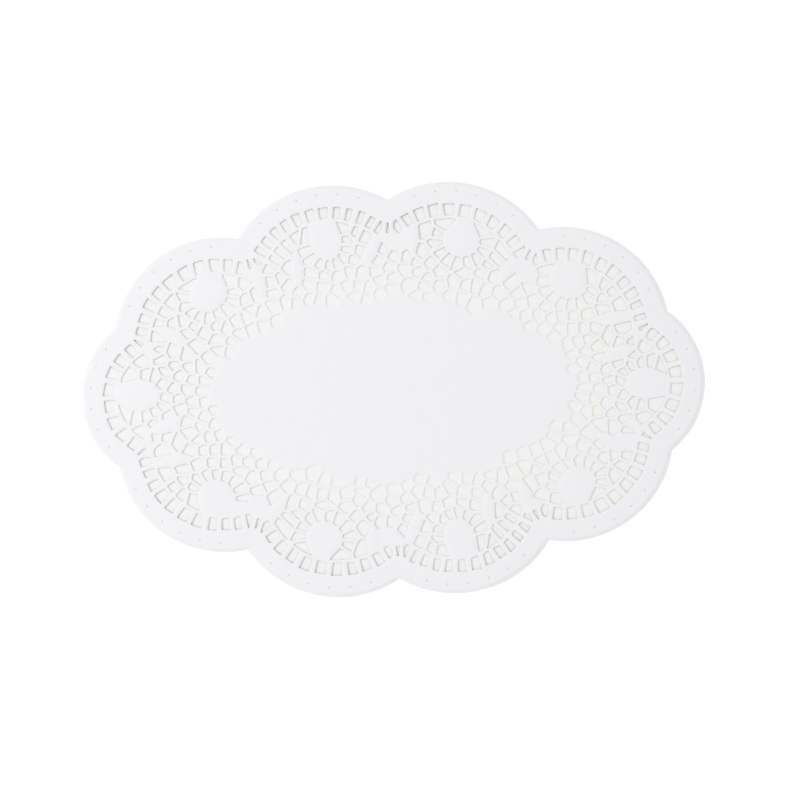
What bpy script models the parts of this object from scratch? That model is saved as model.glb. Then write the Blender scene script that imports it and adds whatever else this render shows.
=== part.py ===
"""An oval doily of die-cut paper lace: one flat sheet with its gaps cut through.

The sheet lies in XY, its long side along X and its underside at Z = 0. Ten scallops run
round it, each a circular arc between two notches. A scallop has a plain band at its edge,
a ladder of slots under the band, and a plain disc. Plain leaves lie beside the seams where
the scallops meet, and a plain oval fills the middle. The rest is a mesh of threads: each of
its gaps is the ground nearer to one point than to any other, less half a thread all round.
Each half of the lace is the other half turned by 180 degrees.
"""

import math
import random
from typing import NamedTuple

import bpy
from mathutils import Vector
from mathutils.geometry import intersect_line_sphere_2d

for leftover in list(bpy.data.objects):
    bpy.data.objects.remove(leftover)

# Sizes are in metres, areas in square metres and turns in degrees.
SHEET_THICKNESS = 0.001
BAND_WIDTH = 0.0101
SLOT_LENGTH = 0.0061
SLOT_THREAD = 0.0024
SLOT_TAPER = 0.13  # how much closer the slots stand toward the seams
LADDER_THREAD = 0.0016  # between the slots and the mesh
MESH_THREAD = 0.0013
GAPS_CUT = 300
LEAST_GAP = 16.0e-6  # smaller gaps stay closed
ARC_STEPS = 16  # straight runs along each scallop

MIDDLE_OVAL = Vector((0.0868, 0.0436))  # half sizes along X and Y
LEAF = Vector((0.0072, 0.0031))  # half sizes, along and across

NET_DEPTH = 0.0029  # from a disc or the ladder to the middles of the gaps beside it
NET_STEP = 0.0047
NET_SPACING = 0.0041  # least distance between the middles of two gaps beside a disc or the ladder
CRACKLE_SPACING = 0.0050  # and of two others, on the whole
CRACKLE_SPREAD = (0.85, 1.25)  # shares of it that the throws ask for
MOTIF_CLEARANCE = 0.0016
LADDER_CLEARANCE = 0.0015
OVAL_MARGIN = 0.0070  # points this far inside the oval still bound the gaps outside it
SEAM_REACH = 0.0230  # how far in from its notch a seam parts the gaps
SEAM_MARGIN = 0.0026  # from a seam to the ladder slots beside it
THROWS = 20000
THROW_SEED = 5


class Disc(NamedTuple):
    x: float
    y: float
    deep: float  # half its size toward the edge of the sheet
    wide: float  # half its size across that


class Scallop(NamedTuple):
    turn: float  # of its first notch about the middle of the sheet
    radius: float  # from the middle of the sheet to that notch
    rise: float  # of its arc above the straight line between its notches
    slots: int  # in its ladder, from seam to seam
    disc: Disc


class Leaf(NamedTuple):
    x: float
    y: float
    turn: float


# The scallops and leaves of one half. The others are these turned by 180 degrees.
SCALLOPS = (
    Scallop(turn=-14.1, radius=0.1371, rise=0.0170, slots=8, disc=Disc(0.1219, -0.0009, 0.0099, 0.0076)),
    Scallop(turn=14.1, radius=0.1371, rise=0.0153, slots=11, disc=Disc(0.0862, 0.0494, 0.0082, 0.0094)),
    Scallop(turn=45.9, radius=0.1042, rise=0.0152, slots=11, disc=Disc(0.0352, 0.0707, 0.0081, 0.0089)),
    Scallop(turn=90.0, radius=0.0912, rise=0.0152, slots=13, disc=Disc(-0.0301, 0.0729, 0.0099, 0.0077)),
    Scallop(turn=134.1, radius=0.1042, rise=0.0153, slots=10, disc=Disc(-0.0873, 0.0485, 0.0081, 0.0096)),
)
LEAVES = (
    Leaf(x=0.1092, y=0.0142, turn=20),
    Leaf(x=0.1065, y=0.0308, turn=8),
    Leaf(x=0.0580, y=0.0566, turn=50),
    Leaf(x=0.0118, y=0.0725, turn=85),
    Leaf(x=-0.0086, y=0.0664, turn=65),
    Leaf(x=-0.0440, y=0.0583, turn=90),
    Leaf(x=-0.0628, y=0.0544, turn=105),
    Leaf(x=-0.1052, y=0.0290, turn=150),
)
HALVES = (1, -1)
CORNERS = ((1, 1), (-1, 1), (-1, -1), (1, -1))


def polar(radius, turn):
    return Vector((math.cos(math.radians(turn)), math.sin(math.radians(turn)))) * radius


def turn_of(direction):
    return math.degrees(math.atan2(direction.y, direction.x))


class Ellipse:
    """A plain motif: its middle, its half sizes, and the direction of the first of them."""

    def __init__(self, middle, half, direction):
        self.middle = middle
        self.half = half
        self.along = direction.normalized()
        self.across = self.along.orthogonal()

    def point(self, turn, offset=0.0):
        share = polar(1, turn)
        along = self.along * (self.half.x + offset) * share.x
        return self.middle + along + self.across * (self.half.y + offset) * share.y

    def tangent(self, point):
        """Where the edge faces a point, and the outward direction there."""
        away = point - self.middle
        along, across = away.dot(self.along) / self.half.x, away.dot(self.across) / self.half.y
        out = self.along * along / self.half.x + self.across * across / self.half.y
        return self.point(math.degrees(math.atan2(across, along))), out.normalized()

    def clearance(self, point):
        edge, out = self.tangent(point)
        return (point - edge).dot(out)

    def ring(self, offset):
        """Points round the edge, this far outside it."""
        count = round(math.pi * (self.half.x + self.half.y + 2 * offset) / NET_STEP)
        return [self.point((index + 0.5) * 360 / count, offset) for index in range(count)]


class Lobe:
    """A scallop with its arc, its ladder and its disc. It runs anticlockwise from start to end."""

    def __init__(self, start, end, scallop, half):
        self.end = end
        self.slot_count = scallop.slots
        run, rise, disc = end - start, scallop.rise, scallop.disc
        self.out = Vector((run.y, -run.x)).normalized()
        self.radius = ((run.length / 2) ** 2 + rise**2) / (2 * rise)
        self.centre = (start + end) / 2 - self.out * (self.radius - rise)
        self.sweep = 2 * math.degrees(math.asin(run.length / 2 / self.radius))
        self.disc = Ellipse(Vector((disc.x, disc.y)) * half, Vector((disc.deep, disc.wide)), self.out)
        self.ladder_top = self.radius - BAND_WIDTH
        self.ladder_foot = self.ladder_top - SLOT_LENGTH
        self.mesh_edge = self.ladder_foot - LADDER_THREAD

    def depth(self, point):
        """How far inside the edge of the mesh a point lies."""
        return self.mesh_edge - (point - self.centre).length

    def thread_turns(self, before, after):
        """The turns of the threads between the slots, from one seam to the other."""
        middle = (self.ladder_top + self.ladder_foot) / 2
        ends = []
        for seam, side in ((before, -1), (after, 1)):
            deep = seam.notch + seam.inward * SEAM_REACH
            _, crossing = intersect_line_sphere_2d(seam.notch, deep, self.centre, middle)
            reach = self.out.angle(crossing - self.centre) - SEAM_MARGIN / middle
            ends.append(turn_of(self.out) + side * math.degrees(reach))
        turns = []
        for index in range(self.slot_count + 1):
            share = 2 * index / self.slot_count - 1
            share *= (1 - SLOT_TAPER * abs(share)) / (1 - SLOT_TAPER)
            turns.append((ends[0] + ends[1]) / 2 + (ends[1] - ends[0]) / 2 * share)
        return turns

    def slots(self):
        found = []
        for before, after in zip(self.threads, self.threads[1:]):
            corners = []
            for radius, turn, side in (
                (self.ladder_top, before, 1),
                (self.ladder_top, after, -1),
                (self.ladder_foot, after, -1),
                (self.ladder_foot, before, 1),
            ):
                half_thread = math.degrees(SLOT_THREAD / 2 / radius)
                corners.append(self.centre + polar(radius, turn + side * half_thread))
            found.append(corners)
        return found

    def arc(self):
        first = turn_of(self.out) - self.sweep / 2
        turns = [first + self.sweep * step / ARC_STEPS for step in range(ARC_STEPS)]
        return [self.centre + polar(self.radius, turn) for turn in turns]


class Seam(NamedTuple):
    notch: Vector
    inward: Vector


rows = [(scallop, half) for half in HALVES for scallop in SCALLOPS]
notches = [polar(scallop.radius, scallop.turn) * half for scallop, half in rows]
LOBES = []
for (scallop, half), start, end in zip(rows, notches, notches[1:] + notches[:1]):
    LOBES.append(Lobe(start, end, scallop, half))
SEAMS = []
for lobe, after in zip(LOBES, LOBES[1:] + LOBES[:1]):
    outward = (lobe.end - lobe.centre).normalized() + (lobe.end - after.centre).normalized()
    SEAMS.append(Seam(lobe.end, -outward.normalized()))
for lobe, before, after in zip(LOBES, SEAMS[-1:] + SEAMS[:-1], SEAMS):
    lobe.threads = lobe.thread_turns(before, after)
OVAL = Ellipse(Vector((0, 0)), MIDDLE_OVAL, Vector((1, 0)))
MOTIFS = [lobe.disc for lobe in LOBES]
MOTIFS += [
    Ellipse(Vector((leaf.x, leaf.y)) * half, LEAF, polar(1, leaf.turn)) for half in HALVES for leaf in LEAVES
]


def area(polygon):
    return abs(sum(a.x * b.y - a.y * b.x for a, b in zip(polygon, polygon[1:] + polygon[:1]))) / 2


def clip(polygon, edge, inward):
    """The part of a convex polygon on the inward side of a line."""
    kept = []
    for before, point in zip(polygon[-1:] + polygon[:-1], polygon):
        there, here = (before - edge).dot(inward), (point - edge).dot(inward)
        if (here >= 0) != (there >= 0):
            kept.append(before.lerp(point, there / (there - here)))
        if here >= 0:
            kept.append(point)
    return kept


def beside_seams(polygon, place, toward, margin):
    """A polygon cut this far from each seam that starts near a place, on the side of a point."""
    for seam in SEAMS:
        if (place - seam.notch).length < SEAM_REACH:
            inward = seam.inward.orthogonal()
            if (toward - seam.notch).dot(inward) < 0:
                inward = -inward
            polygon = clip(polygon, seam.notch + inward * margin, inward)
    return polygon


def ladder():
    """The slots under the band, all round."""
    found = []
    for lobe in LOBES:
        for slot in lobe.slots():
            slot = beside_seams(slot, slot[0], lobe.disc.middle, SEAM_MARGIN)
            if area(slot) > LEAST_GAP:
                found.append(slot)
    return found


def deepest_lobe(point):
    return max(LOBES, key=lambda lobe: lobe.depth(point))


def gap_middles():
    """Points round the discs and along the ladder, then scattered ones wherever there is room."""
    net = [point for lobe in LOBES for point in lobe.disc.ring(NET_DEPTH)]
    for lobe in LOBES:
        turns = [(before + after) / 2 for before, after in zip(lobe.threads, lobe.threads[1:])]
        net += [lobe.centre + polar(lobe.mesh_edge - NET_DEPTH, turn) for turn in turns]
    dice = random.Random(THROW_SEED)
    reach = LOBES[0].centre.length + LOBES[0].radius
    throws = [(point, NET_SPACING) for point in net]
    for _ in range(THROWS):
        place = Vector((dice.uniform(-1, 1), dice.uniform(-1, 1))) * reach
        throws.append((place, CRACKLE_SPACING * dice.uniform(*CRACKLE_SPREAD)))
    found = []
    for point, spacing in throws:
        if (
            deepest_lobe(point).depth(point) > LADDER_CLEARANCE
            and OVAL.clearance(point) > -OVAL_MARGIN
            and all(motif.clearance(point) > MOTIF_CLEARANCE for motif in MOTIFS)
            and all((point - other).length > spacing for other in found)
        ):
            found += [point * half for half in HALVES]
    return found


def mesh_gap(middle, middles):
    """The gap round one of the middles."""
    gap = [middle + Vector(corner) * CRACKLE_SPACING * 2 for corner in CORNERS]
    for other in middles:
        away = middle - other
        if 0 < away.length < CRACKLE_SPACING * 4:
            way = away.normalized()
            gap = clip(gap, other + away / 2 + way * MESH_THREAD / 2, way)
    for motif in MOTIFS:
        gap = clip(gap, *motif.tangent(middle))
    outside = [corner for corner in gap if deepest_lobe(corner).depth(corner) < 0]
    for place in [middle] + outside:
        lobe = deepest_lobe(place)
        out = (place - lobe.centre).normalized()
        gap = clip(gap, lobe.centre + out * lobe.mesh_edge, -out)
    return beside_seams(gap, middle, middle, MESH_THREAD / 2)


def cut_gaps():
    """All of the ladder, then the widest gaps of the mesh in each lobe."""
    gaps = ladder()
    share = (GAPS_CUT - len(gaps)) // len(LOBES)
    middles = gap_middles()
    outside = [middle for middle in middles if OVAL.clearance(middle) > 0]
    for lobe in LOBES:
        own = [mesh_gap(middle, middles) for middle in outside if deepest_lobe(middle) is lobe]
        wide = sorted((gap for gap in own if area(gap) > LEAST_GAP), key=area)
        gaps += wide[-share:]
    return gaps


def white_paper():
    material = bpy.data.materials.new("white paper")
    material.use_nodes = True
    shader = material.node_tree.nodes["Principled BSDF"]
    shader.inputs["Base Color"].default_value = (0.86, 0.86, 0.87, 1)
    shader.inputs["Roughness"].default_value = 0.85
    shader.inputs["Metallic"].default_value = 0
    return material


# The sheet is a filled flat curve, with one closed run for its edge and one for each gap.
sheet = bpy.data.curves.new("doily", "CURVE")
sheet.dimensions = "2D"
sheet.fill_mode = "BOTH"
sheet.extrude = SHEET_THICKNESS / 2
sheet.materials.append(white_paper())
edge = [point for lobe in LOBES for point in lobe.arc()]
for polygon in [edge] + cut_gaps():
    run = sheet.splines.new("POLY")
    run.points.add(len(polygon) - 1)
    for place, corner in zip(run.points, polygon):
        place.co = (corner.x, corner.y, 0, 1)
    run.use_cyclic_u = True
doily = bpy.data.objects.new("doily", sheet)
doily.location.z = SHEET_THICKNESS / 2
bpy.context.collection.objects.link(doily)
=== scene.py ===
# %% [markdown]
# # An oval paper lace doily
# The object is one sheet of white paper, cut with a die and embossed to look like lace, lying flat on
# a pale table. Its holes and its ten scallops are placed by the same rule as in the CAD part, so both
# have one pattern. What this script adds is what the solid leaves out: thin paper, the smaller gaps,
# rounded holes with pressed rims, pricked dots, soft relief, a sheet that doesn't lie quite flat, and a
# paper finish.

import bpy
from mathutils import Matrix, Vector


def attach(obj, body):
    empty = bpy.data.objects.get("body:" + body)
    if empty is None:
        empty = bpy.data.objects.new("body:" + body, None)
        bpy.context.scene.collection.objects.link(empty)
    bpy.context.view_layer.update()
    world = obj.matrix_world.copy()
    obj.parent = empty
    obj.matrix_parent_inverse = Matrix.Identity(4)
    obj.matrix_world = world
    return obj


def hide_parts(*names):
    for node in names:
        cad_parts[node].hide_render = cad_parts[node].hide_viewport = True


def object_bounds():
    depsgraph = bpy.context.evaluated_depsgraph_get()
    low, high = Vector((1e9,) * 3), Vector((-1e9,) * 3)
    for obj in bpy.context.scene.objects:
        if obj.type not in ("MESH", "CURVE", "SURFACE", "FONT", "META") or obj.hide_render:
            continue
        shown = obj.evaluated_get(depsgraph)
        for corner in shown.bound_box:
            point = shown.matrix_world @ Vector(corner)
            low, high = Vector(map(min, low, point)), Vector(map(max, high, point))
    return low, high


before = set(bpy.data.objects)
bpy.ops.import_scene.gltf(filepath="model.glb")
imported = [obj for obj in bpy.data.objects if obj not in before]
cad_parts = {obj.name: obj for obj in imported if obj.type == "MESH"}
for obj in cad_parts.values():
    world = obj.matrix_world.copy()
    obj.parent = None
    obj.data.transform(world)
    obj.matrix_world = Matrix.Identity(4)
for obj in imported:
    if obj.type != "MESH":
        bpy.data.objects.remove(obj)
cad_low, cad_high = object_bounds()
print("CAD box:", [round(side * 1000, 1) for side in cad_high - cad_low], "mm")

# %% [markdown]
# ## Sizes of the lace
# A lace like this is a few named sizes and two short tables. Ten scallops run round the sheet, each a
# circular arc between two notches, with a plain band, a ladder of slots under it, and a plain disc.
# No two neighbours are quite alike, so each row of the first table has its own count of slots and its
# own disc. Plain leaves lie beside the seams where scallops meet, and a plain oval fills the middle.
# Only one half is listed, because the other half is the same one turned by 180 degrees. All sizes are
# in metres, areas in square metres and turns in degrees, unless a name says otherwise.

# %% Sizes of the lace
import math
import random
from typing import NamedTuple

import bmesh
import bpy
from mathutils import Matrix, Vector, noise
from mathutils.geometry import intersect_line_sphere_2d

BAND_WIDTH = 0.0101
SLOT_LENGTH = 0.0061
SLOT_THREAD = 0.0024
SLOT_TAPER = 0.13  # how much closer the slots stand toward the seams
LADDER_THREAD = 0.0016  # between the slots and the mesh
MESH_THREAD = 0.0013
LEAST_GAP = 8.0e-6  # a smaller gap stays closed; its rim counts

MIDDLE_OVAL = Vector((0.0868, 0.0436))  # half sizes along X and Y
LEAF = Vector((0.0072, 0.0031))  # half sizes, along and across


class Disc(NamedTuple):
    x: float
    y: float
    deep: float  # half its size toward the edge of the sheet
    wide: float  # half its size across that


class Scallop(NamedTuple):
    turn: float  # of its first notch about the middle of the sheet
    radius: float  # from the middle of the sheet to that notch
    rise: float  # of its arc above the straight line between its notches
    slots: int  # in its ladder, from seam to seam
    disc: Disc


class Leaf(NamedTuple):
    x: float
    y: float
    turn: float


SCALLOPS = (
    Scallop(turn=-14.1, radius=0.1371, rise=0.0170, slots=8, disc=Disc(0.1219, -0.0009, 0.0099, 0.0076)),
    Scallop(turn=14.1, radius=0.1371, rise=0.0153, slots=11, disc=Disc(0.0862, 0.0494, 0.0082, 0.0094)),
    Scallop(turn=45.9, radius=0.1042, rise=0.0152, slots=11, disc=Disc(0.0352, 0.0707, 0.0081, 0.0089)),
    Scallop(turn=90.0, radius=0.0912, rise=0.0152, slots=13, disc=Disc(-0.0301, 0.0729, 0.0099, 0.0077)),
    Scallop(turn=134.1, radius=0.1042, rise=0.0153, slots=10, disc=Disc(-0.0873, 0.0485, 0.0081, 0.0096)),
)
LEAVES = (
    Leaf(x=0.1092, y=0.0142, turn=20),
    Leaf(x=0.1065, y=0.0308, turn=8),
    Leaf(x=0.0580, y=0.0566, turn=50),
    Leaf(x=0.0118, y=0.0725, turn=85),
    Leaf(x=-0.0086, y=0.0664, turn=65),
    Leaf(x=-0.0440, y=0.0583, turn=90),
    Leaf(x=-0.0628, y=0.0544, turn=105),
    Leaf(x=-0.1052, y=0.0290, turn=150),
)
HALVES = (1, -1)
print("scallops:", len(SCALLOPS) * 2, "leaves:", len(LEAVES) * 2)

# %% [markdown]
# ## Plain motifs and scallops
# Two small classes hold the geometry that everything else asks for. An `Ellipse` is a plain motif, and
# knows how far a point lies outside its edge. A `Lobe` is a scallop: from two notches and a rise it
# works out the circle of its arc, and the rings at which its ladder and its mesh begin. Working from
# circles keeps the slots square to the edge, which a hand-placed list of corners would not.


# %% Plain motifs and scallops
def polar(radius, turn):
    return Vector((math.cos(math.radians(turn)), math.sin(math.radians(turn)))) * radius


def turn_of(direction):
    return math.degrees(math.atan2(direction.y, direction.x))


class Ellipse:
    """A plain motif: its middle, its half sizes, and the direction of the first of them."""

    def __init__(self, middle, half, direction):
        self.middle = middle
        self.half = half
        self.along = direction.normalized()
        self.across = self.along.orthogonal()

    def point(self, turn, offset=0.0):
        share = polar(1, turn)
        along = self.along * (self.half.x + offset) * share.x
        return self.middle + along + self.across * (self.half.y + offset) * share.y

    def tangent(self, point):
        """Where the edge faces a point, and the outward direction there."""
        away = point - self.middle
        along, across = away.dot(self.along) / self.half.x, away.dot(self.across) / self.half.y
        out = self.along * along / self.half.x + self.across * across / self.half.y
        return self.point(math.degrees(math.atan2(across, along))), out.normalized()

    def clearance(self, point):
        edge, out = self.tangent(point)
        return (point - edge).dot(out)


class Lobe:
    """A scallop with its arc, its ladder and its disc. It runs anticlockwise from start to end."""

    def __init__(self, start, end, scallop, half):
        self.start, self.end = start, end
        self.slot_count = scallop.slots
        run, rise, disc = end - start, scallop.rise, scallop.disc
        self.out = Vector((run.y, -run.x)).normalized()
        self.radius = ((run.length / 2) ** 2 + rise**2) / (2 * rise)
        self.centre = (start + end) / 2 - self.out * (self.radius - rise)
        self.sweep = 2 * math.degrees(math.asin(run.length / 2 / self.radius))
        self.disc = Ellipse(Vector((disc.x, disc.y)) * half, Vector((disc.deep, disc.wide)), self.out)
        self.ladder_top = self.radius - BAND_WIDTH
        self.ladder_foot = self.ladder_top - SLOT_LENGTH
        self.mesh_edge = self.ladder_foot - LADDER_THREAD

    def depth(self, point):
        """How far inside the edge of the mesh a point lies."""
        return self.mesh_edge - (point - self.centre).length


rows = [(scallop, half) for half in HALVES for scallop in SCALLOPS]
notches = [polar(scallop.radius, scallop.turn) * half for scallop, half in rows]
LOBES = [
    Lobe(start, end, scallop, half)
    for (scallop, half), start, end in zip(rows, notches, notches[1:] + notches[:1])
]
OVAL = Ellipse(Vector((0, 0)), MIDDLE_OVAL, Vector((1, 0)))
DISCS = [lobe.disc for lobe in LOBES]
LEAF_MOTIFS = [
    Ellipse(Vector((leaf.x, leaf.y)) * half, LEAF, polar(1, leaf.turn))
    for half in HALVES
    for leaf in LEAVES
]
MOTIFS = DISCS + LEAF_MOTIFS


def deepest_lobe(point):
    return max(LOBES, key=lambda lobe: lobe.depth(point))


print("arc radii:", sorted({round(lobe.radius * 1000, 1) for lobe in LOBES}), "mm")

# %% [markdown]
# ## Seams and ladders
# From each notch a seam runs inward between two ladders. The gaps on either side stop short of it, so
# that one unbroken thread follows the seam. Its direction halves the angle between the two arcs. Where
# it crosses the middle of a ladder, that ladder ends. The threads between its slots are spread from
# one end to the other, and they stand a little closer together toward the seams, as on the real sheet.

# %% Seams and ladders
SEAM_REACH = 0.0230  # how far in from its notch a seam parts the gaps
SEAM_MARGIN = 0.0026  # from a seam to the ladder slots beside it


class Seam(NamedTuple):
    notch: Vector
    inward: Vector


SEAMS = []
for lobe, after in zip(LOBES, LOBES[1:] + LOBES[:1]):
    outward = (lobe.end - lobe.centre).normalized() + (lobe.end - after.centre).normalized()
    SEAMS.append(Seam(lobe.end, -outward.normalized()))


def thread_turns(lobe, before, after):
    """The turns of the threads between the slots, from one seam to the other."""
    middle = (lobe.ladder_top + lobe.ladder_foot) / 2
    ends = []
    for seam, side in ((before, -1), (after, 1)):
        deep = seam.notch + seam.inward * SEAM_REACH
        _, crossing = intersect_line_sphere_2d(seam.notch, deep, lobe.centre, middle)
        reach = lobe.out.angle(crossing - lobe.centre) - SEAM_MARGIN / middle
        ends.append(turn_of(lobe.out) + side * math.degrees(reach))
    turns = []
    for index in range(lobe.slot_count + 1):
        share = 2 * index / lobe.slot_count - 1
        share *= (1 - SLOT_TAPER * abs(share)) / (1 - SLOT_TAPER)
        turns.append((ends[0] + ends[1]) / 2 + (ends[1] - ends[0]) / 2 * share)
    return turns


for lobe, before, after in zip(LOBES, SEAMS[-1:] + SEAMS[:-1], SEAMS):
    turns = thread_turns(lobe, before, after)
    lobe.slot_spans = list(zip(turns, turns[1:]))
    print("slots:", lobe.slot_count, "over", round(turns[-1] - turns[0], 1), "degrees")

# %% [markdown]
# ## Where the gaps of the mesh sit
# The mesh looks like crackle with two neat rows in it: one round each disc and one along each ladder.
# Those rows are placed first. Then points are thrown at random, from a fixed seed, and each one that
# finds room is kept, with its half-turned copy. Every throw asks for its own least distance to the
# others. That gives cells of every shape and of sizes that differ within limits, as in the real lace,
# where a jittered grid would still look like a grid. The sizes, the seed and the order of the throws
# are those of the CAD part.

# %% Where the gaps of the mesh sit
NET_DEPTH = 0.0029  # from a disc or the ladder to the middles of the gaps beside it
NET_STEP = 0.0047  # from one gap to the next round a disc
NET_SPACING = 0.0041  # least distance between the middles of two gaps beside a disc or the ladder
CRACKLE_SPACING = 0.0050  # and of two others, on the whole
CRACKLE_SPREAD = (0.85, 1.25)  # shares of it that the throws ask for
MOTIF_CLEARANCE = 0.0016  # least distance from a motif to the middle of a gap
LADDER_CLEARANCE = 0.0015  # and from the ladder
OVAL_MARGIN = 0.0070  # points this far inside the oval still bound the gaps outside it
THROWS = 20000
THROW_SEED = 5


def ring_round(motif, offset):
    """Points round the edge of a motif, this far outside it."""
    count = round(math.pi * (motif.half.x + motif.half.y + 2 * offset) / NET_STEP)
    return [motif.point((index + 0.5) * 360 / count, offset) for index in range(count)]


def gap_middles():
    net = [point for disc in DISCS for point in ring_round(disc, NET_DEPTH)]
    for lobe in LOBES:
        turns = [(before + after) / 2 for before, after in lobe.slot_spans]
        net += [lobe.centre + polar(lobe.mesh_edge - NET_DEPTH, turn) for turn in turns]
    dice = random.Random(THROW_SEED)
    reach = LOBES[0].centre.length + LOBES[0].radius
    throws = [(point, NET_SPACING) for point in net]
    for _ in range(THROWS):
        place = Vector((dice.uniform(-1, 1), dice.uniform(-1, 1))) * reach
        throws.append((place, CRACKLE_SPACING * dice.uniform(*CRACKLE_SPREAD)))
    found = []
    for point, spacing in throws:
        if (
            deepest_lobe(point).depth(point) > LADDER_CLEARANCE
            and OVAL.clearance(point) > -OVAL_MARGIN
            and all(motif.clearance(point) > MOTIF_CLEARANCE for motif in MOTIFS)
            and all((point - other).length > spacing for other in found)
        ):
            found += [point * half for half in HALVES]
    return found


MIDDLES = gap_middles()
print("gap middles:", len(MIDDLES))

# %% [markdown]
# ## Cutting one gap
# A gap is the ground nearer to one middle than to any other, less half a thread all round. The plain
# way to make such a cell in Blender is to start with a square face and cut it with a plane for each
# neighbour, throwing away what lies behind: `bisect_plane` with `clear_inner`. The same call trims it
# to the edge of a motif, of the ladder and of a seam. The cell is cut `RIM` too large here, because
# the next step lays a rim of that width round the hole. A worn die doesn't cut evenly, so each side
# of a gap has its own share of a thread and a slight slant, which the plain cells of the CAD part
# don't have.

# %% Cutting one gap
RIM = 0.00035  # width of the pressed rim round a hole
SNAP = 1e-7  # points closer than this are one
THREAD_SHARES = (0.85, 1.25)  # of half a thread, taken off a side
SLANT = math.radians(3)  # the most that a side is turned
CUT_SEED = 11
cut_dice = random.Random(CUT_SEED)


def keep_side(patch, edge, inward):
    """Cuts a patch along a line and drops what lies behind it."""
    if min(((vert.co.xy - edge).dot(inward) for vert in patch.verts), default=0) < -SNAP:
        parts = patch.verts[:] + patch.edges[:] + patch.faces[:]
        place, normal = edge.to_3d(), inward.to_3d()
        bmesh.ops.bisect_plane(
            patch, geom=parts, dist=SNAP, plane_co=place, plane_no=normal, clear_inner=True
        )


def keep_beside_seams(patch, place, toward, margin):
    """Trims a patch this far from each seam that starts near a place, on the side of a point."""
    for seam in SEAMS:
        if (place - seam.notch).length < SEAM_REACH:
            inward = seam.inward.orthogonal()
            if (toward - seam.notch).dot(inward) < 0:
                inward = -inward
            keep_side(patch, seam.notch + inward * margin, inward)


def mesh_gap(middle):
    """One face: the gap round a middle, and the ground its rim takes."""
    patch = bmesh.new()
    square = Matrix.Translation(middle.to_3d())
    bmesh.ops.create_grid(patch, x_segments=1, y_segments=1, size=CRACKLE_SPACING * 2, matrix=square)
    for other in MIDDLES:
        away = middle - other
        if 0 < away.length < CRACKLE_SPACING * 4:
            way = away.normalized()
            half_thread = MESH_THREAD / 2 * cut_dice.uniform(*THREAD_SHARES)
            edge = other + away / 2 + way * (half_thread - RIM)
            keep_side(patch, edge, Matrix.Rotation(cut_dice.uniform(-SLANT, SLANT), 2) @ way)
    for motif in MOTIFS:
        edge, out = motif.tangent(middle)
        keep_side(patch, edge - out * RIM, out)
    corners = [vert.co.xy for vert in patch.verts]
    outside = [corner for corner in corners if deepest_lobe(corner).depth(corner) < -RIM]
    for place in [middle] + outside:
        lobe = deepest_lobe(place)
        out = (place - lobe.centre).normalized()
        keep_side(patch, lobe.centre + out * (lobe.mesh_edge + RIM), -out)
    keep_beside_seams(patch, middle, middle, MESH_THREAD / 2 - RIM)
    return patch


def face_area(patch):
    return sum(face.calc_area() for face in patch.faces)


mesh_gaps = [mesh_gap(middle) for middle in MIDDLES if OVAL.clearance(middle) > 0]
mean_area = sum(map(face_area, mesh_gaps)) / len(mesh_gaps)
print("mesh gaps:", len(mesh_gaps), "mean area:", round(mean_area * 1e6, 1), "mm2")

# %% [markdown]
# ## The ladder and the seam slots
# Under the band the slots stand side by side like the gaps of a ladder. Each is one four-cornered face
# between two rings of its lobe, a little narrower at its foot, with each corner slightly off its
# place. It is trimmed where it would cross a seam. One narrow slot more lies on each seam itself,
# wider at its inner end.

# %% The ladder and the seam slots
SEAM_SLOT_TOP, SEAM_SLOT_FOOT = 0.0105, 0.0162  # distances from the notch
SEAM_SLOT_HALF_TOP, SEAM_SLOT_HALF_FOOT = 0.0007, 0.0015
CORNER_PLAY = 0.00045  # the most that a corner of a slot is off its place, along X and along Y


def face_through(corners):
    patch = bmesh.new()
    patch.faces.new([patch.verts.new(corner.to_3d()) for corner in corners])
    return patch


def ladder_slot(lobe, before, after):
    corners = []
    top, foot = lobe.ladder_top + RIM, lobe.ladder_foot - RIM
    for radius, turn, side in ((top, before, 1), (top, after, -1), (foot, after, -1), (foot, before, 1)):
        half_thread = math.degrees((SLOT_THREAD / 2 - RIM) / radius)
        play = Vector((cut_dice.uniform(-1, 1), cut_dice.uniform(-1, 1))) * CORNER_PLAY
        corners.append(lobe.centre + polar(radius, turn + side * half_thread) + play)
    patch = face_through(corners)
    keep_beside_seams(patch, corners[0], lobe.disc.middle, SEAM_MARGIN - RIM)
    return patch


def seam_slot(seam):
    across = seam.inward.orthogonal()
    top, foot = seam.notch + seam.inward * SEAM_SLOT_TOP, seam.notch + seam.inward * SEAM_SLOT_FOOT
    half_top, half_foot = across * SEAM_SLOT_HALF_TOP, across * SEAM_SLOT_HALF_FOOT
    return face_through([top + half_top, top - half_top, foot - half_foot, foot + half_foot])


slots = [ladder_slot(lobe, before, after) for lobe in LOBES for before, after in lobe.slot_spans]
slots += [seam_slot(seam) for seam in SEAMS]
openings = [patch for patch in mesh_gaps + slots if face_area(patch) > LEAST_GAP]
print("openings:", len(openings), "of them slots:", sum(patch in openings for patch in slots))

# %% [markdown]
# ## Rounded corners and pressed rims
# A die has no sharp corners, and its blunt edge presses the paper down beside the cut before it
# parts. So each opening first loses its shortest sides with `collapse`, then has its corners rounded
# with a vertex `bevel`, and then one `inset` turns its outer strip into a rim that slopes down to the
# hole. The inner face is deleted, and that is the hole. An inset is better than a bevel of the
# finished sheet, because it leaves an even ring of quads, however odd the outline is.

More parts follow.
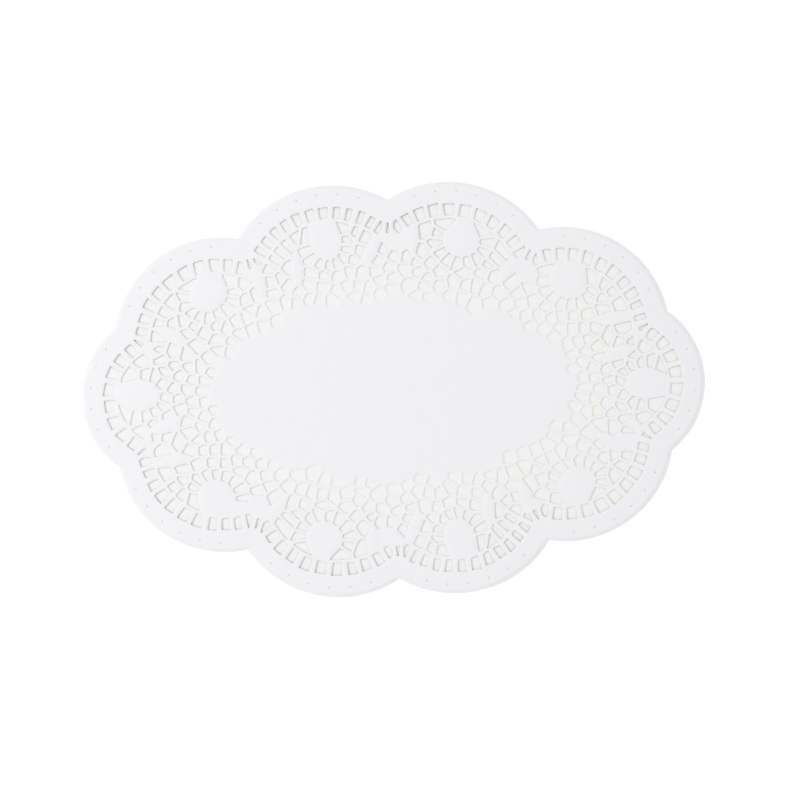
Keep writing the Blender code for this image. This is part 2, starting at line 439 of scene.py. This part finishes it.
# %% Rounded corners and pressed rims
FILLET = 0.0009  # radius of the sharper corners, rim included
LEAST_CUT = 0.0007  # taken from each side at the blunter ones
SIDE_SHARE = 0.46  # no corner takes more of a side than this
SHARP_HALF = math.radians(50)  # a corner is sharp if half its angle is less
SHARP_STEPS, BLUNT_STEPS = 3, 2  # straight runs round a corner
LEAST_SIDE = 0.0012  # a shorter one is collapsed
LONGEST_SIDE = 0.0017  # a longer one is divided
RIM_DROP = 0.00010


def round_corners(patch):
    short = [edge for edge in patch.edges if edge.calc_length() < LEAST_SIDE]
    bmesh.ops.collapse(patch, edges=short)
    cuts = []
    for vert in patch.verts:
        sides = [edge.other_vert(vert).co - vert.co for edge in vert.link_edges]
        half_angle = sides[0].angle(sides[1]) / 2
        room = min(side.length for side in sides) * SIDE_SHARE
        cut = min(max(LEAST_CUT, FILLET / math.tan(half_angle)), room)
        cuts.append((vert, cut, SHARP_STEPS if half_angle < SHARP_HALF else BLUNT_STEPS))
    for vert, cut, steps in cuts:
        bmesh.ops.bevel(
            patch, geom=[vert], offset=cut, affect="VERTICES", segments=steps, profile=0.5, material=-1
        )
    for edge in [edge for edge in patch.edges if edge.calc_length() > LONGEST_SIDE]:
        count = int(edge.calc_length() / LONGEST_SIDE)
        bmesh.ops.subdivide_edges(patch, edges=[edge], cuts=count)


def face_up(patch):
    bmesh.ops.recalc_face_normals(patch, faces=patch.faces[:])
    if patch.faces[:][0].normal.z < 0:
        bmesh.ops.reverse_faces(patch, faces=patch.faces[:])


def press(patch, width, drop):
    """Insets the one face that is left to press, and lowers it."""
    middle = max(patch.faces, key=lambda face: len(face.verts))
    bmesh.ops.inset_individual(
        patch, faces=[middle], thickness=width, depth=-drop, use_even_offset=True
    )
    return middle


for patch in openings:
    face_up(patch)
    round_corners(patch)
    hole = press(patch, RIM, RIM_DROP)
    bmesh.ops.delete(patch, geom=[hole], context="FACES_ONLY")
print("faces of the rims:", sum(len(patch.faces) for patch in openings))

# %% [markdown]
# ## Pricked dots
# A row of small pin pricks follows the band of each scallop. Each is a ring of eight sides that dips
# twice toward a tiny hole. Real pricks push the paper down like this, so a pit modelled in the mesh
# catches the light as they do, where a dark dot in the colour would stay flat in a raking light.

# %% Pricked dots
PRICK_DEPTH = 0.0043  # from the edge of the sheet
PRICK_STEP = 0.0102  # from one to the next
PRICK_END = 0.6  # of a step stays free of them along each arc
PRICK_RADIUS = 0.00085
PRICK_SIDES = 8
PRICK_DIPS = ((0.00033, 0.00006), (0.00027, 0.00013))  # widths and drops


def prick(place):
    patch = bmesh.new()
    spot = Matrix.Translation(place.to_3d())
    bmesh.ops.create_circle(
        patch, cap_ends=True, radius=PRICK_RADIUS, segments=PRICK_SIDES, matrix=spot
    )
    for width, drop in PRICK_DIPS:
        hole = press(patch, width, drop)
    bmesh.ops.delete(patch, geom=[hole], context="FACES_ONLY")
    return patch


pricks = []
for lobe in LOBES:
    radius = lobe.radius - PRICK_DEPTH
    step = math.degrees(PRICK_STEP / radius)
    count = int(lobe.sweep / step - PRICK_END)
    first = turn_of(lobe.out) - step * (count - 1) / 2
    pricks += [prick(lobe.centre + polar(radius, first + step * index)) for index in range(count)]
print("pricks:", len(pricks))

# %% [markdown]
# ## The edge of the sheet
# The outline is ten arcs. `spin` makes each from the single vertex at its notch, turned about the
# arc's centre, which is exact and needs no list of points. The loop is filled, and three insets make
# the narrow flat lip and the short slope that the die presses along the edge of the paper.

# %% The edge of the sheet
EDGE_STEPS = 34  # straight runs along each scallop
NOTCH_MERGE = 1e-6  # joins the end of one arc to the start of the next
EDGE_DROPS = (  # widths and drops, from outside
    (0.0004, 0.00002),
    (0.0004, 0.00013),
    (0.0004, 0.00012),
)


def outline_face():
    patch = bmesh.new()
    for lobe in LOBES:
        start = patch.verts.new(lobe.start.to_3d())
        bmesh.ops.spin(
            patch,
            geom=[start],
            cent=lobe.centre.to_3d(),
            axis=(0, 0, 1),
            angle=math.radians(lobe.sweep),
            steps=EDGE_STEPS,
        )
    bmesh.ops.remove_doubles(patch, verts=patch.verts[:], dist=NOTCH_MERGE)
    bmesh.ops.edgeloop_fill(patch, edges=patch.edges[:])
    face_up(patch)
    return patch


edge_patch = outline_face()
outline_area = face_area(edge_patch)
total_drop = sum(drop for _, drop in EDGE_DROPS)
bmesh.ops.translate(edge_patch, verts=edge_patch.verts[:], vec=(0, 0, -total_drop))
for width, drop in EDGE_DROPS:
    inside = press(edge_patch, width, -drop)
bmesh.ops.delete(edge_patch, geom=[inside], context="FACES_ONLY")
print("outline area:", round(outline_area * 1e4), "cm2")
print("faces of the edge:", len(edge_patch.faces))

# %% [markdown]
# ## One sheet
# All rims now go into one bmesh, and the ground between them is filled. `triangle_fill` takes loops
# with any number of holes. Its triangles reach from hole to hole and are long and thin, which would
# crease as soon as the sheet is lifted. So in a few rounds the long inner sides are split, the faces
# made triangles again, and `beautify_fill` turns badly placed sides. After these rounds nearly all
# sides are short and even. The sides are always listed in the order of the mesh. A set of them would
# come in another order each time, and where two ways to turn a side are equally good, the mesh would
# differ from run to run.

# %% One sheet
FILL_SIDE = 0.0021  # longer sides of the ground are split
FILL_ROUNDS = 9
EVENING = 0.5  # how far a free point moves toward the middle of its neighbours in a round

sheet = bmesh.new()
scrap = bpy.data.meshes.new("scrap")
for patch in openings + pricks + [edge_patch]:
    patch.to_mesh(scrap)
    sheet.from_mesh(scrap)
bpy.data.meshes.remove(scrap)
rims = set(sheet.edges)


def level(part):
    return all(abs(vert.co.z) < SNAP for vert in part.verts)


def inner_sides():
    """The sides of the ground alone, in the order of the mesh."""
    return [edge for edge in sheet.edges if edge not in rims]


ground_edges = [edge for edge in sheet.edges if edge.is_boundary and level(edge)]
bmesh.ops.triangle_fill(sheet, use_beauty=True, edges=ground_edges, normal=(0, 0, 1))
for _ in range(FILL_ROUNDS):
    long_sides = [edge for edge in inner_sides() if edge.calc_length() > FILL_SIDE]
    bmesh.ops.subdivide_edges(sheet, edges=long_sides, cuts=1)
    ground = [face for face in sheet.faces if level(face)]
    bmesh.ops.triangulate(sheet, faces=ground)
    ground = [face for face in sheet.faces if level(face)]
    bmesh.ops.beautify_fill(sheet, faces=ground, edges=inner_sides())
    free = [vert for vert in sheet.verts if not any(edge in rims for edge in vert.link_edges)]
    bmesh.ops.smooth_vert(sheet, verts=free, factor=EVENING, use_axis_x=True, use_axis_y=True)
longest = max(edge.calc_length() for edge in sheet.edges)
print("faces of the sheet:", len(sheet.faces), "longest side:", round(longest * 1000, 1), "mm")

# %% [markdown]
# ## Relief and lie
# Embossing leaves the discs and leaves slightly puffed. It also raises a soft ridge where the band
# meets the ladder, from which the band slopes down to the edge and the ladder to the mesh, so that the
# slots are darkest at their outer ends. The plain oval lies lower than the lace round it, a hair above
# the card that is laid under it later. All of it is a gentle function of the place on the sheet, added
# to the height of each vertex. Beside a seam two scallops are equally deep, and a smooth maximum of the
# two depths keeps the ridge from a kink there. A cloth simulation isn't used: paper this stiff keeps
# the lie that the die gave it.

# %% Relief and lie
PUFF = 0.00012
PUFF_FROM, PUFF_TO = -0.0026, 0.0004  # distances from a motif's edge between which it falls off
REST = 0.00042  # height of the plain oval's face above the table
LACE_LIFT = 0.00020
LIFT_FROM, LIFT_TO = 0.4, 0.8  # shares of the way out at which the lift starts and is full
RIDGE = 0.00020
RIDGE_FOOT = 0.0165  # where the ridge ends, measured in from the edge of the sheet
DEPTH_BLEND = 0.0012
RIPPLE, RIPPLE_LENGTH = 0.00022, 0.055
RIPPLE_FROM, RIPPLE_TO = 0.3, 0.9  # as for the lift
COCKLE, COCKLE_LENGTH = 0.00006, 0.009


def soft_step(low, high, value):
    share = min(max((value - low) / (high - low), 0), 1)
    return share * share * (3 - 2 * share)


def puff(place):
    nearest = min(motif.clearance(place) for motif in MOTIFS)
    return PUFF * (1 - soft_step(PUFF_FROM, PUFF_TO, nearest))


def ridge(place):
    near = [lobe for lobe in LOBES if (place - lobe.centre).dot(lobe.out) > 0]
    if not near:
        return 0
    depths = [lobe.radius - (place - lobe.centre).length for lobe in near]
    depth = DEPTH_BLEND * math.log(sum(math.exp(depth / DEPTH_BLEND) for depth in depths))
    return RIDGE * soft_step(0, BAND_WIDTH, depth) * (1 - soft_step(BAND_WIDTH, RIDGE_FOOT, depth))


def lie(place):
    way_out = Vector((place.x / cad_high.x, place.y / cad_high.y)).length
    lift = LACE_LIFT * soft_step(LIFT_FROM, LIFT_TO, way_out)
    ripple = RIPPLE * noise.noise(place.to_3d() / RIPPLE_LENGTH)
    ripple *= soft_step(RIPPLE_FROM, RIPPLE_TO, way_out)
    cockle = COCKLE * noise.noise(place.to_3d() / COCKLE_LENGTH)
    return REST + lift + ridge(place) + ripple + cockle


for vert in sheet.verts:
    vert.co.z += puff(vert.co.xy) + lie(vert.co.xy)
heights = [vert.co.z for vert in sheet.verts]
print("heights from", round(min(heights) * 1000, 2), "to", round(max(heights) * 1000, 2), "mm")

# %% [markdown]
# ## The piece
# The bmesh becomes one mesh object, and Solidify gives the paper its thickness, downward. The edges of
# the holes are marked sharp first, so that the cut stays crisp while the embossing shades smoothly.
# Where the sheet is steep the die has squeezed it. Two attributes keep places for its finish: one marks
# the steep rims and slopes, which are painted darker as shade and made a little less rough, and the
# other marks the cut edges, which are painted lighter as a highlight. Then the piece rides on the one
# body and stands for the solid, which is hidden.

# %% The piece
PAPER_THICKNESS = 0.00018
# Where a normal tilts this far, the painted shade on the rims and slopes is full.
PRESSED_TILT = 0.05  # how far from upright a normal is where the die pressed hardest

sheet.normal_update()
pressed_and_shade, cut = [sheet.verts.layers.float.new(name) for name in ("pressed_and_shade", "cut")]
# The first attribute is full on the steep rims and slopes, where the paper is painted darker as shade.
for vert in sheet.verts:
    vert[pressed_and_shade] = min((1 - vert.normal.z) / PRESSED_TILT, 1)
    # The second attribute marks every cut edge, where the paper is painted lighter as a highlight.
    vert[cut] = vert.is_boundary
for edge in sheet.edges:
    edge.smooth = not edge.is_boundary
for face in sheet.faces:
    face.smooth = True
paper_area = sum(face.calc_area() for face in sheet.faces)
mesh = bpy.data.meshes.new("lace_sheet")
sheet.to_mesh(mesh)
lace = bpy.data.objects.new("lace_sheet", mesh)
bpy.context.collection.objects.link(lace)
thicken = lace.modifiers.new("thickness", "SOLIDIFY")
thicken.thickness = PAPER_THICKNESS
thicken.offset = -1
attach(lace, "root")
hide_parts("doily")
print("paper area:", round(paper_area * 1e4, 1), "cm2, triangles:", len(mesh.loop_triangles))

# %% [markdown]
# ## Shader maths as Python
# A finish mixes many small numbers. With one class that wraps a socket and overloads the operators,
# an expression such as `1 - grain * 0.2` adds its Math nodes by itself. Any other node comes from one
# method, which takes the node's type, its settings, and the values or links of its sockets. A Mix node
# has a socket of each kind under the same name, so its colours are asked for by number.

# %% Shader maths as Python
COLOUR_A, COLOUR_B, COLOUR_OUT = 6, 7, 2


class Wire:
    """An output socket that can stand in a Python expression."""

    def __init__(self, finish, socket):
        self.finish, self.socket = finish, socket

    def maths(self, operation, first, second):
        return self.finish.node("ShaderNodeMath", {"operation": operation}, {0: first, 1: second})

    def __add__(self, other):
        return self.maths("ADD", self, other)

    def __sub__(self, other):
        return self.maths("SUBTRACT", self, other)

    def __mul__(self, other):
        return self.maths("MULTIPLY", self, other)

    def __rsub__(self, other):
        return self.maths("SUBTRACT", other, self)

    __radd__, __rmul__ = __add__, __mul__


class Finish:
    """A material, and a short way to add nodes to it."""

    def __init__(self, name):
        self.material = bpy.data.materials.new(name)
        self.material.use_nodes = True
        self.tree = self.material.node_tree
        self.shader = self.tree.nodes["Principled BSDF"]

    def node(self, kind, settings=None, inputs=None, output=0):
        made = self.tree.nodes.new(kind)
        for name, value in (settings or {}).items():
            setattr(made, name, value)
        for name, value in (inputs or {}).items():
            self.feed(made.inputs[name], value)
        return Wire(self, made.outputs[output])

    def feed(self, socket, value):
        if isinstance(value, Wire):
            self.tree.links.new(value.socket, socket)
        else:
            socket.default_value = value

    def mix(self, share, first, second):
        inputs = {"Factor": share, COLOUR_A: first, COLOUR_B: second}
        settings = {"data_type": "RGBA", "clamp_factor": True}
        return self.node("ShaderNodeMix", settings, inputs, output=COLOUR_OUT)

    def surface(self, **inputs):
        for name, value in inputs.items():
            self.feed(self.shader.inputs[name.replace("_", " ").title()], value)


print("shader helpers ready")

# %% [markdown]
# ## White paper
# White paper isn't one flat white. Its pulp lies in soft clouds a few millimetres across, fibres run
# through it every way, and a fine felt covers it. Noise on Object coordinates gives each at its true
# scale, in waves to the metre. A fibre is a noise that a Mapping node turns and stretches, of which
# only the peaks are kept, and three such noises cross. The attributes paint shade onto the steep rims
# and slopes, where the die pressed the sheet, and paint a highlight along the cut edges. Felt, grain
# and fibres are a bump too, far too fine to be modelled.

# %% White paper
PAPER_WHITE = (0.785, 0.788, 0.801, 1)
PAPER_CLOUD = (0.758, 0.760, 0.771, 1)
# Painted shade for the steep rims and slopes, where the die pressed the sheet.
PAPER_PRESSED_SHADE = (0.71, 0.71, 0.72, 1)
# A painted highlight for the cut edges.
PAPER_CUT_HIGHLIGHT = (0.860, 0.860, 0.870, 1)
PRESSED_SHADE_SHARE, CUT_HIGHLIGHT_SHARE = 0.4, 0.5  # how much of those two colours shows at the most
CLOUD_SCALE, FELT_SCALE, GRAIN_SCALE, FIBRE_SCALE = 190, 1500, 6000, 7000
FIBRE_TURNS = (12, 71, 137)
FIBRE_STRETCH = 16
FIBRE_FROM, FIBRE_TO = 0.56, 0.72  # the part of the noise that shows as a fibre
BUMP_DEPTH, BUMP_STRENGTH = 0.00005, 0.6
SPECULAR = 0.25
paper = Finish("white paper")
place = paper.node("ShaderNodeTexCoord", output="Object")


def speckle(scale, detail=3.0, roughness=0.5, where=place):
    inputs = {"Vector": where, "Scale": scale, "Detail": detail, "Roughness": roughness}
    return paper.node("ShaderNodeTexNoise", {"noise_dimensions": "3D"}, inputs, output="Fac")


def fibres_along(turn):
    inputs = {"Vector": place, "Rotation": (0, 0, math.radians(turn)), "Scale": (FIBRE_STRETCH, 1, 1)}
    stretched = paper.node("ShaderNodeMapping", {"vector_type": "TEXTURE"}, inputs)
    noise_along = speckle(FIBRE_SCALE, detail=2, where=stretched)
    limits = {"Value": noise_along, "From Min": FIBRE_FROM, "From Max": FIBRE_TO}
    return paper.node("ShaderNodeMapRange", {"clamp": True}, limits)


def attribute(name):
    return paper.node("ShaderNodeAttribute", {"attribute_name": name}, output="Fac")


clouds = speckle(CLOUD_SCALE)
felt = speckle(FELT_SCALE, detail=5, roughness=0.65)
grain = speckle(GRAIN_SCALE, detail=2)
first, second, third = [fibres_along(turn) for turn in FIBRE_TURNS]
fibres = first.maths("MAXIMUM", first.maths("MAXIMUM", first, second), third)
press_and_shade, cut_highlight = attribute("pressed_and_shade"), attribute("cut")
tint = paper.mix(clouds * 0.6 + felt * 0.5 - fibres * 0.35, PAPER_WHITE, PAPER_CLOUD)
# Painted shade darkens the steep rims and slopes.
tint = paper.mix(press_and_shade * PRESSED_SHADE_SHARE, tint, PAPER_PRESSED_SHADE)
# A painted highlight lightens the cut edges.
tint = paper.mix(cut_highlight * CUT_HIGHLIGHT_SHARE, tint, PAPER_CUT_HIGHLIGHT)
height = felt * 0.6 + grain * 0.25 + fibres * 0.35
relief = {"Strength": BUMP_STRENGTH, "Distance": BUMP_DEPTH, "Height": height}
bump = paper.node("ShaderNodeBump", inputs=relief)
paper.surface(base_color=tint, roughness=0.66 + felt * 0.2 - press_and_shade * 0.1, normal=bump)
paper.shader.inputs["Specular IOR Level"].default_value = SPECULAR
mesh.materials.append(paper.material)
print("nodes in white paper:", len(paper.tree.nodes))

# %% [markdown]
# ## What the doily lies on
# The table is plain and pale, and wide enough to fill every view. White lace on a bright table would
# show glaring holes, so a plain card of nearly the paper's white lies under it, as under a doily on a
# cake board. The card keeps inside the band, where only the holes show it, and it has turned cream in
# patches, more so toward its right end. Neither is part of the object, so both are staged.

# %% What the doily lies on
FLOOR_RADIUS, FLOOR_SIDES = 14, 64
FLOOR_COLOUR = (0.98, 0.98, 0.98, 1)
CARD_WHITE = (0.785, 0.785, 0.791, 1)
CARD_CREAM = (0.799, 0.796, 0.755, 1)
CARD_INSET = 0.005
CARD_HEIGHT = 0.00015
STAGE_ROUGHNESS = 0.9
PATCH_SCALE = 90
PATCH_LEVEL, PATCH_CONTRAST = 0.53, 5  # the noise at which a patch starts, and how sharply
PATCH_DRIFT = 3  # how much more of the second colour there is for each metre along X


def set_stage(name, patch, first_colour, second_colour):
    staged = bpy.data.objects.new(name, bpy.data.meshes.new(name))
    patch.to_mesh(staged.data)
    finish = Finish("matt " + name)
    place = finish.node("ShaderNodeTexCoord", output="Object")
    inputs = {"Vector": place, "Scale": PATCH_SCALE, "Detail": 2}
    patches = finish.node("ShaderNodeTexNoise", inputs=inputs)
    along = finish.node("ShaderNodeSeparateXYZ", inputs={"Vector": place})
    share = (patches - PATCH_LEVEL) * PATCH_CONTRAST + along * PATCH_DRIFT
    finish.surface(base_color=finish.mix(share, first_colour, second_colour), roughness=STAGE_ROUGHNESS)
    staged.data.materials.append(finish.material)
    bpy.context.collection.objects.link(staged)
    return staged


floor_patch = bmesh.new()
bmesh.ops.create_circle(floor_patch, cap_ends=True, radius=FLOOR_RADIUS, segments=FLOOR_SIDES)
set_stage("floor", floor_patch, FLOOR_COLOUR, FLOOR_COLOUR)
card_patch = outline_face()
inside = press(card_patch, CARD_INSET, 0)
margin = [face for face in card_patch.faces if face != inside]
bmesh.ops.delete(card_patch, geom=margin, context="FACES")
bmesh.ops.translate(card_patch, verts=card_patch.verts[:], vec=(0, 0, CARD_HEIGHT))
card = set_stage("card", card_patch, CARD_WHITE, CARD_CREAM)
print("card area:", round(face_area(card_patch) * 1e4), "cm2")

# %% [markdown]
# ## Light
# White on white only shows by its shadows. A bright, even sky fills them, and one soft lamp from the
# left gives each hole a darker side and lets the light fall off slightly toward the right.

# %% Light
SKY = 0.905
LAMP_PLACE = Vector((-1.62, 0.36, 1.13))
LAMP_SIZE = 0.45
LAMP_WATTS = 16
world = bpy.data.worlds.new("sky")
bpy.context.scene.world = world
world.use_nodes = True
world.node_tree.nodes["Background"].inputs["Color"].default_value = (1, 1, 1, 1)
world.node_tree.nodes["Background"].inputs["Strength"].default_value = SKY
lamp = bpy.data.objects.new("lamp", bpy.data.lights.new("lamp", "AREA"))
lamp.data.shape, lamp.data.size, lamp.data.energy = "DISK", LAMP_SIZE, LAMP_WATTS
lamp.location = LAMP_PLACE
lamp.rotation_euler = (-LAMP_PLACE).to_track_quat("-Z", "Y").to_euler()
bpy.context.collection.objects.link(lamp)
bpy.context.scene.view_settings.view_transform = "Standard"
print("lamp at", [round(x, 2) for x in LAMP_PLACE])

# %% [markdown]
# ## Camera
# The camera looks straight down. It is turned a little, and its aim is beside the middle, because the
# doily lies a little aslant and off the middle of the frame.

# %% Camera
VIEW_WIDTH = 0.38548
AIM_X, AIM_Y = 0.00322, -0.00526
CAMERA_TURN = -1.825
LENS, SENSOR = 85, 36  # millimetres
camera = bpy.data.objects.new("camera", bpy.data.cameras.new("camera"))
camera.data.lens, camera.data.sensor_width = LENS, SENSOR
camera.location = (AIM_X, AIM_Y, VIEW_WIDTH * LENS / SENSOR)
camera.rotation_euler = (0, 0, math.radians(CAMERA_TURN))
bpy.context.collection.objects.link(camera)
bpy.context.scene.camera = camera
print("camera height:", round(camera.location.z, 3), "m")
